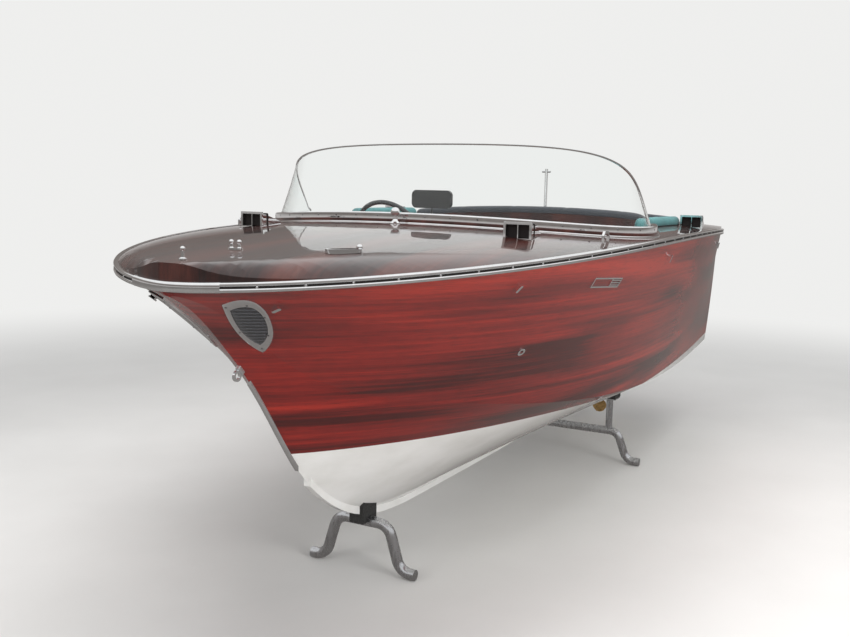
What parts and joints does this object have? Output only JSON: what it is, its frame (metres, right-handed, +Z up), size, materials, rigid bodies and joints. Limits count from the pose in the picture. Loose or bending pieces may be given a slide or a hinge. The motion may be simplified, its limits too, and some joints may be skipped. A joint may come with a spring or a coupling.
{
  "type": "inboard speedboat",
  "caption": "Small varnished mahogany inboard runabout with a hard chine, wrap-round windshield, chrome fittings, cockpit bench and engine hatch, on a low stand of bent tube.",
  "frame": {"origin": "on the floor below the middle of the overall box", "axes": "+X towards the bow, +Y to port, +Z up"},
  "size_m": [4.826, 2.1296, 1.89],
  "materials": {
    "hull_mahogany": "gloss varnish",
    "deck_mahogany": "gloss varnish",
    "bottom_paint": "gloss paint, red above the waterline",
    "inside_wood": "satin",
    "chrome": "polished",
    "windshield_sheet": "clear",
    "lamp_glass": "dark",
    "teal_upholstery": "satin",
    "dark_upholstery": "satin",
    "engine_paint": "satin",
    "stand_tube": "bright",
    "bronze": "cast",
    "shaft_steel": "turned",
    "pad_rubber": "matte",
    "wheel_plastic": "gloss",
    "mirror_housing": "gloss",
    "gauge_face": "gloss"
  },
  "bodies": {
    "hull": {"hull_side_port": "hull_mahogany", "hull_side_starboard": "hull_mahogany", "hull_bottom_port": "bottom_paint", "hull_bottom_starboard": "bottom_paint", "transom": "hull_mahogany", "foredeck": "deck_mahogany", "aft_deck": "deck_mahogany", "side_deck_port": "deck_mahogany", "side_deck_starboard": "deck_mahogany", "footwell_bulkhead": "inside_wood", "dashboard": "deck_mahogany", "engine_bearers": "inside_wood", "aft_bulkhead": "inside_wood", "cockpit_sole": "inside_wood", "seat_base": "inside_wood", "seat_cushion": "teal_upholstery", "seat_back": "teal_upholstery", "coaming_pad_port": "teal_upholstery", "coaming_pad_starboard": "teal_upholstery", "aft_crown_pad": "dark_upholstery", "rub_rail": "chrome", "stem_band": "chrome", "keel_strip": "bottom_paint", "windshield_base": "chrome", "windshield_glass": "windshield_sheet", "windshield_rim": "chrome", "bow_post": "chrome", "bow_cleat": "chrome", "deck_ring": "chrome", "bow_light": "chrome", "ventilators_fore": "chrome", "ventilators_aft": "chrome", "side_chocks": "chrome", "stern_pole": "chrome", "rear_view_mirror": "mirror_housing", "fender_hooks": "chrome", "side_louvres": "chrome", "skin_fittings": "chrome", "bow_lamp_bezels": "chrome", "bow_lamp_glasses": "lamp_glass", "bow_eye": "chrome", "exhaust_outlets": "chrome", "steering_column": "chrome", "gauges": "gauge_face", "engine": "engine_paint", "shaft_tube": "bronze", "shaft_strut": "bronze", "rudder_tube": "bronze", "hatch_hinges": "chrome", "bow_trestle": "stand_tube", "stern_trestle": "stand_tube", "stand_pads": "pad_rubber"},
    "hatch": {"engine_hatch": "deck_mahogany", "hatch_hinge_leaves": "chrome"},
    "wheel": {"steering_wheel": "wheel_plastic"},
    "screw": {"propeller_shaft": "shaft_steel", "propeller": "bronze", "propeller_nut": "bronze"},
    "rudder": {"rudder": "bronze"}
  },
  "joints": [
    {"name": "hatch_hinge", "type": "hinge", "parent": "hull", "child": "hatch", "pos_m": [-1.78, 0, 1.49206], "axis": [0, -1, 0], "range_deg": [0, 70]},
    {"name": "wheel_turn", "type": "hinge", "parent": "hull", "child": "wheel", "pos_m": [0.31, -0.42, 1.42], "axis": [-0.8829, 0, 0.4695], "range_deg": [-540, 540]},
    {"name": "propeller_spin", "type": "hinge", "parent": "hull", "child": "screw", "pos_m": [-1.85, 0, 0.19], "axis": [-0.9816, 0, -0.1908], "continuous": true},
    {"name": "rudder_turn", "type": "hinge", "parent": "hull", "child": "rudder", "pos_m": [-2.03, 0, 0.2], "axis": [0, 0, 1], "range_deg": [-35, 35]}
  ],
  "couplings": [
    {"joint": "rudder_turn", "follows": "wheel_turn", "ratio": -0.064815}
  ]
}
